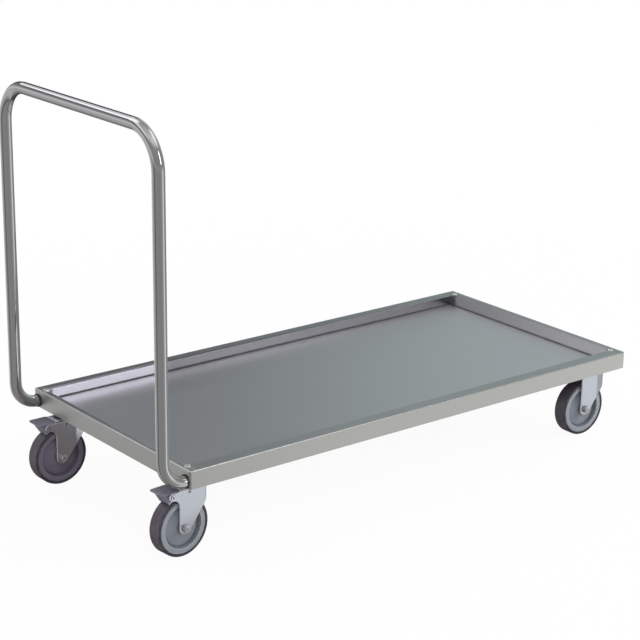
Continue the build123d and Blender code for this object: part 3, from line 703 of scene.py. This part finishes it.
def threaded(name, roughness, axis, low, high, pitch):
    """A zinc-plated bolt, its thread rolled between two places along one axis, with painted shade
    in its grooves.
    """
    material, g, shader = shaded_material(name)
    here = g.here()
    tint, shade, rough, fine = plated(g, here, BOLT_ZINC, roughness)
    along = g.split(here)[axis]
    wave = g.math("DIVIDE", g.math("PINGPONG", along, pitch / 2), pitch / 2)
    groove = g.times(
        g.smooth(wave, *THREAD_FLANK),
        g.math("GREATER_THAN", along, low),
        g.math("LESS_THAN", along, high),
    )
    # Painted shade in the grooves
    shade = g.shifted(shade, groove, -THREAD_PAINTED_SHADE)
    height = g.shifted(g.times(fine, THREAD_FINE_SHARE), groove, -THREAD_DEPTH)
    surface = (tint, shade, rough)
    finish_plating(g, shader, surface, height, THREAD_BUMP, THREAD_EDGE_RADIUS)
    return material


# Castors: each has its own frame, with the axle as its origin, x ahead and z up. Places are
# (x, z) in it.

REST_TURNS = {"swivel_left": 0.0, "swivel_right": 5.0, "fixed_left": 0.0, "fixed_right": 0.0}
AXLE = (0.0, 0.0)
PEDAL_PIN = (-0.030, 0.0719)
SIDE_HOLE = (0.011, 0.0737)
FORK_HALF_WIDTH = 0.0215


def axle_place(castor):
    low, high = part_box("tyre_" + castor)
    return [(a + b) / 2 for a, b in zip(low, high)]


def from_axle(g, castor):
    """The point in the castor's own frame, as it lies at rest."""
    moved = g.node("VectorMath", {0: g.here(), 1: axle_place(castor)}, operation="SUBTRACT")
    inputs = {"Vector": moved.outputs[0], "Angle": -math.radians(REST_TURNS[castor])}
    return g.node("VectorRotate", inputs, rotation_type="Z_AXIS").outputs[0]


def distance_from(g, here, place):
    """The distance from a line across the castor, through a place on its side."""
    x, _, z = g.split(here)
    away_x = g.minus(x, place[0])
    away_z = g.minus(z, place[1])
    return g.math("SQRT", g.plus(g.times(away_x, away_x), g.times(away_z, away_z)))


# Painted highlight: a pale, less metallic tint on faces that don't face sideways, such as sheared
# edges, crown and front
FORK_EDGE_HIGHLIGHT = (0.86, 0.88, 0.92)
# How far a surface's normal points across the castor, on sheared edges and on the flat sides
FORK_EDGE_ACROSS = (0.80, 0.45)
FORK_SIDE_ACROSS = (0.90, 0.97)
FORK_SIDE_Y = (0.0205, 0.0212)
# Painted shade round the pedal pin and round the axle: its span from the middle, its softness and
# its darkness
PIN_RING = (0.0047, 0.0066, 0.0004)
PIN_RING_PAINTED_SHADE = 0.18
AXLE_SEAT = (0.0070, 0.0088, 0.0005)
AXLE_SEAT_PAINTED_SHADE = 0.30
# Painted shade in the side hole: its radii from none to full, and its darkness
SIDE_HOLE_RADIUS = (0.0026, 0.0019)
SIDE_HOLE_PAINTED_SHADE = 0.9
FORK_ROUGHNESS = 0.19
FORK_EDGE_METAL_LOSS = 0.85
FORK_EDGE_ROUGHER = 0.22
FORK_EDGE_RADIUS = 0.0006
FORK_FINE_HEIGHT = 0.0000012
FRONT_BEND_X = 0.035
FRONT_BEND_SLOPE = -0.15
# The right swivel fork shows no bend in the photograph
PLAIN_FORK = "swivel_right"


def fork_look(castor):
    """A pressed fork: pale sheared edges in a painted highlight, a slight bend near its front and
    painted shade round the pedal pin, the axle and the side hole.

    Its bump is a height in metres.
    """
    material, g, shader = shaded_material("fork_look_" + castor)
    here = from_axle(g, castor)
    x, y, _ = g.split(here)
    tint, shade, rough, fine = plated(g, here, FORK_ZINC, FORK_ROUGHNESS)
    normal = g.node("NewGeometry").outputs["Normal"]
    across = g.math("ABSOLUTE", g.split(normal)[1])
    edge = g.smooth(across, *FORK_EDGE_ACROSS)
    side = g.times(
        g.smooth(across, *FORK_SIDE_ACROSS),
        g.smooth(g.math("ABSOLUTE", y), *FORK_SIDE_Y),
    )
    # Painted shade round the pedal pin and the axle, and in the side hole
    pin_ring = g.between(distance_from(g, here, PEDAL_PIN), *PIN_RING)
    shade = g.shifted(shade, pin_ring, -PIN_RING_PAINTED_SHADE)
    seat = g.between(distance_from(g, here, AXLE), *AXLE_SEAT)
    shade = g.shifted(shade, seat, -AXLE_SEAT_PAINTED_SHADE)
    if castor.startswith("swivel"):
        hole = g.smooth(distance_from(g, here, SIDE_HOLE), *SIDE_HOLE_RADIUS)
        shade = g.shifted(shade, hole, -SIDE_HOLE_PAINTED_SHADE)
    # Painted highlight on the edge faces
    g.fill(shader, {
        "Base Color": g.multiplied(g.mix(edge, tint, FORK_EDGE_HIGHLIGHT), shade),
        "Metallic": g.shifted(1.0, edge, -FORK_EDGE_METAL_LOSS),
        "Roughness": g.shifted(rough, edge, FORK_EDGE_ROUGHER),
    })
    slope = 0.0 if castor == PLAIN_FORK else FRONT_BEND_SLOPE
    past_bend = g.math("MAXIMUM", g.minus(x, FRONT_BEND_X), 0.0)
    height = g.shifted(g.times(past_bend, slope, side), fine, FORK_FINE_HEIGHT)
    g.bumped(shader, height, strength=1.0, distance=1.0, edge_radius=FORK_EDGE_RADIUS)
    return material


# Moulded plastic and rubber

MOULD_GRAIN = {"scale": 1500.0, "detail": 2.0, "roughness": 0.6}
MOULD_CLOUDS = {"scale": 38.0, "detail": 4.0, "roughness": 0.62, "distortion": 0.5}
MOULD_SPECKS = {"scale": 260.0, "detail": 3.0, "roughness": 0.7}
DUST = (0.5, 0.5, 0.5)
DUST_CLOUDS = (0.42, 0.78)
DUST_SPECKS = (0.60, 0.78)
SPECK_SHARE = 0.8
MOULD_DUST_SHARE = 0.12
MOULD_EDGE_RADIUS = 0.0006

WHEEL_DUST_SHARE = 0.10
# Shares of painted shade in the dish's and hub's corners and of painted highlight on the rim's
# edges
WHEEL_PAINTED_SHADE_SHARE = 0.75
WHEEL_PAINTED_HIGHLIGHT_SHARE = 0.85
WHEEL_ROUGHNESS = 0.34
WHEEL_WEB = (0.205, 0.222, 0.252)
WHEEL_RIM = (0.235, 0.252, 0.282)
# Painted shade in the corners and painted highlight on the rim's edges
WHEEL_PAINTED_SHADE = (0.055, 0.055, 0.065)
WHEEL_PAINTED_HIGHLIGHT = (0.52, 0.54, 0.58)
# The left swivel wheel is darker and more purple in the photograph; its colour carries that as
# painted shade
PAINTED_SHADE_WHEEL = "swivel_left"
PAINTED_SHADE_WHEEL_TINT = (0.105, 0.070, 0.120)
PAINTED_SHADE_WHEEL_SHARE = 0.65
# Rings of the wheel: from one radius to another, and their softness
RIM_RING = (0.0455, 0.0560, 0.0004)
# Painted shade in the dish's corner and round the hub
DISH_CORNER = (0.0400, 0.0452, 0.0018)
HUB_CORNER = (0.0130, 0.0155, 0.0008)
# Painted highlight on the rim's outer and inner edges
OUTER_RIM_EDGE = (0.0553, 0.0566, 0.0003)
INNER_RIM_EDGE = (0.0456, 0.0463, 0.0003)


def dusty(g, base, clouds, specks, share):
    """A colour under a little pale dust."""
    dust = g.times(g.smooth(clouds, *DUST_CLOUDS), share)
    dust = g.shifted(dust, g.smooth(specks, *DUST_SPECKS), share * SPECK_SHARE)
    return g.mix(dust, base, DUST)


def wheel_look(castor):
    """A moulded wheel body: pale rim edges in a painted highlight, fine turned rings, painted
    shade in the dish's and the hub's corners.
    """
    material, g, shader = shaded_material("wheel_look_" + castor)
    here = from_axle(g, castor)
    radius = distance_from(g, here, AXLE)
    grain = g.noise(here, **MOULD_GRAIN)
    clouds = g.noise(here, **MOULD_CLOUDS)
    specks = g.noise(here, **MOULD_SPECKS)
    turned = g.node("CombineXYZ", {0: g.times(radius, 900.0)}).outputs[0]
    rings = g.noise(turned, scale=1.0, detail=3.0, roughness=0.6)
    # Painted shade in the dish's corner, mottled, and round the hub
    darkening = g.math(
        "MAXIMUM",
        g.times(g.between(radius, *DISH_CORNER), g.shifted(0.45, clouds, 0.6)),
        g.times(g.between(radius, *HUB_CORNER), 0.7),
    )
    # Painted highlight on the rim's edges, speckled
    rim_edge_highlight = g.math(
        "MAXIMUM",
        g.between(radius, *OUTER_RIM_EDGE),
        g.between(radius, *INNER_RIM_EDGE),
    )
    rim_edge_highlight = g.times(rim_edge_highlight, g.shifted(0.25, specks, 0.9))
    base = g.mix(g.between(radius, *RIM_RING), WHEEL_WEB, WHEEL_RIM)
    base = g.mix(g.math("MULTIPLY", darkening, WHEEL_PAINTED_SHADE_SHARE, clamp=True), base, WHEEL_PAINTED_SHADE)
    base = g.mix(g.math("MULTIPLY", rim_edge_highlight, WHEEL_PAINTED_HIGHLIGHT_SHARE, clamp=True), base, WHEEL_PAINTED_HIGHLIGHT)
    base = dusty(g, base, clouds, specks, WHEEL_DUST_SHARE)
    # Painted shade on the left swivel wheel
    if castor == PAINTED_SHADE_WHEEL:
        base = g.mix(PAINTED_SHADE_WHEEL_SHARE, base, PAINTED_SHADE_WHEEL_TINT)
    g.fill(shader, {
        "Base Color": g.multiplied(base, g.varied(1.0, rings, 0.14)),
        "Metallic": 0.0,
        "Roughness": g.varied(g.varied(WHEEL_ROUGHNESS, clouds, 0.20), grain, 0.12),
    })
    height = g.shifted(rings, grain, 0.6)
    g.bumped(shader, height, strength=0.25, distance=PLASTIC_BUMP_DISTANCE)
    return material


TREAD_ROUGHNESS = 0.44
TREAD = (0.082, 0.068, 0.090)
TREAD_SHOULDER = (0.040, 0.035, 0.045)
TREAD_DUST = (0.42, 0.40, 0.42)
TREAD_DUST_LEVELS = (0.47, 0.70)
TREAD_DUST_SHARE = 0.16
SHOULDER_Y = (0.0120, 0.0152)
MOULD_LINE_Y = (0.0006, 0.0002)
MOULD_LINE_RADIUS = (0.0610, 0.0618)


def tyre_look(castor):
    """A grey tread: a fine mould line round its middle, scuffs along it and darker shoulders."""
    material, g, shader = shaded_material("tyre_look_" + castor)
    here = from_axle(g, castor)
    out = g.math("ABSOLUTE", g.split(here)[1])
    grain = g.noise(here, **MOULD_GRAIN)
    clouds = g.noise(here, **MOULD_CLOUDS)
    scuffs = g.noise(here, scale=(60, 700, 60), detail=3.0, roughness=0.65)
    base = g.mix(g.smooth(out, *SHOULDER_Y), TREAD, TREAD_SHOULDER)
    patches = g.plus(g.times(clouds, 0.5), g.times(scuffs, 0.5))
    dust = g.times(g.smooth(patches, *TREAD_DUST_LEVELS), TREAD_DUST_SHARE)
    g.fill(shader, {
        "Base Color": g.mix(dust, base, TREAD_DUST),
        "Metallic": 0.0,
        "Roughness": g.varied(g.varied(TREAD_ROUGHNESS, clouds, 0.20), scuffs, 0.14),
    })
    line = g.times(
        g.smooth(out, *MOULD_LINE_Y),
        g.smooth(distance_from(g, here, AXLE), *MOULD_LINE_RADIUS),
    )
    height = g.shifted(g.times(grain, 0.5), line, 3.0)
    g.bumped(shader, height, strength=0.35, distance=PLASTIC_BUMP_DISTANCE)
    return material


def moulded(name, color, roughness):
    """Moulded plastic or rubber: a fine grain, a cloudy sheen, eased edges and a little dust."""
    material, g, shader = shaded_material(name)
    here = g.here()
    grain = g.noise(here, **MOULD_GRAIN)
    clouds = g.noise(here, **MOULD_CLOUDS)
    specks = g.noise(here, **MOULD_SPECKS)
    g.fill(shader, {
        "Base Color": dusty(g, color, clouds, specks, MOULD_DUST_SHARE),
        "Metallic": 0.0,
        "Roughness": g.varied(g.varied(roughness, clouds, 0.24), grain, 0.16),
    })
    g.bumped(shader, grain, 0.2, PLASTIC_BUMP_DISTANCE, MOULD_EDGE_RADIUS)
    return material


# Painted shade in the rivet's bore: its radii from none to full, and its darkness
PIN_BORE_RADIUS = (0.0022, 0.0016)
PIN_BORE_PAINTED_SHADE = 0.93
PIN_ROUGHNESS = 0.22
PIN_BUMP = 0.10


def pin_look(castor):
    """The pedal's rivet: a pale rolled ring round a bore darkened with painted shade."""
    material, g, shader = shaded_material("pin_look_" + castor)
    here = from_axle(g, castor)
    tint, shade, rough, fine = plated(g, here, PIN_ZINC, PIN_ROUGHNESS)
    # Painted shade in the bore
    bore = g.smooth(distance_from(g, here, PEDAL_PIN), *PIN_BORE_RADIUS)
    shade = g.shifted(shade, bore, -PIN_BORE_PAINTED_SHADE)
    surface = (tint, shade, rough)
    finish_plating(g, shader, surface, fine, PIN_BUMP, PLATING_EDGE_RADIUS)
    return material


# The looks of the record's material slots, and of the nodes that have one of their own

slot_looks = {
    "deck_steel": tray_steel(),
    "handle_steel": handle_steel(),
    "rivet_steel": zinc_plate("rivet_steel_look", (0.82, 0.83, 0.84), 0.24, metallic=0.70),
    "zinc_steel": zinc_plate("zinc_steel_look", FORK_ZINC, 0.30),
    "zinc_fasteners": zinc_plate("zinc_fastener_look", (0.74, 0.76, 0.80), 0.18, metallic=0.85),
    "bearing_steel": zinc_plate("bearing_steel_look", (0.70, 0.70, 0.70), 0.12),
    "collar_rubber": moulded("collar_rubber_look", (0.020, 0.020, 0.022), 0.55),
    "plug_plastic": moulded("plug_plastic_look", (0.03, 0.03, 0.03), 0.50),
    "seal_plastic": moulded("seal_plastic_look", (0.035, 0.035, 0.04), 0.50),
    "pedal_plastic": moulded("pedal_plastic_look", (0.190, 0.183, 0.232), 0.40),
}

AXLE_BOLT_ROUGHNESS = 0.16
BOLT_ROUGHNESS = 0.20
BOLT_PITCH = 0.00125
KINGPIN_PITCH = 0.00175
PLATE_THREAD_LENGTH = 0.009
KINGPIN_THREAD_LENGTH = 0.010
# A thread's look runs this far past the bolt's end, so that the end is inside it
PAST_END = 0.001
Y_AXIS, Z_AXIS = 1, 2


def node_looks():
    looks = {}
    for castor in CASTORS:
        looks["fork_" + castor] = fork_look(castor)
        looks["wheel_core_" + castor] = wheel_look(castor)
        looks["tyre_" + castor] = tyre_look(castor)
        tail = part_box("axle_bolt_" + castor)[0][1] - PAST_END
        plate = axle_place(castor)[1] - FORK_HALF_WIDTH
        looks["axle_bolt_" + castor] = threaded(
            "axle_bolt_look_" + castor, AXLE_BOLT_ROUGHNESS, Y_AXIS, tail, plate, BOLT_PITCH
        )
    for side in SIDES:
        looks["pedal_pin_" + side] = pin_look("swivel_" + side)
        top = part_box("kingpin_" + side)[1][2]
        looks["kingpin_" + side] = threaded(
            "kingpin_look_" + side, BOLT_ROUGHNESS, Z_AXIS,
            top - KINGPIN_THREAD_LENGTH, top + PAST_END, KINGPIN_PITCH,
        )
    for end in ENDS:
        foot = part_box("plate_bolts_" + end)[0][2]
        looks["plate_bolts_" + end] = threaded(
            "plate_bolt_look_" + end, BOLT_ROUGHNESS, Z_AXIS,
            foot - PAST_END, foot + PLATE_THREAD_LENGTH, BOLT_PITCH,
        )
    return looks


own_looks = node_looks()
for entry in frame["record"]["subparts"]:
    node = nodes[entry["node"]]
    look = own_looks.get(entry["node"]) or slot_looks[entry["material_slot"]]
    if not node.material_slots:
        node.data.materials.append(look)
    for held in node.material_slots:
        held.material = look
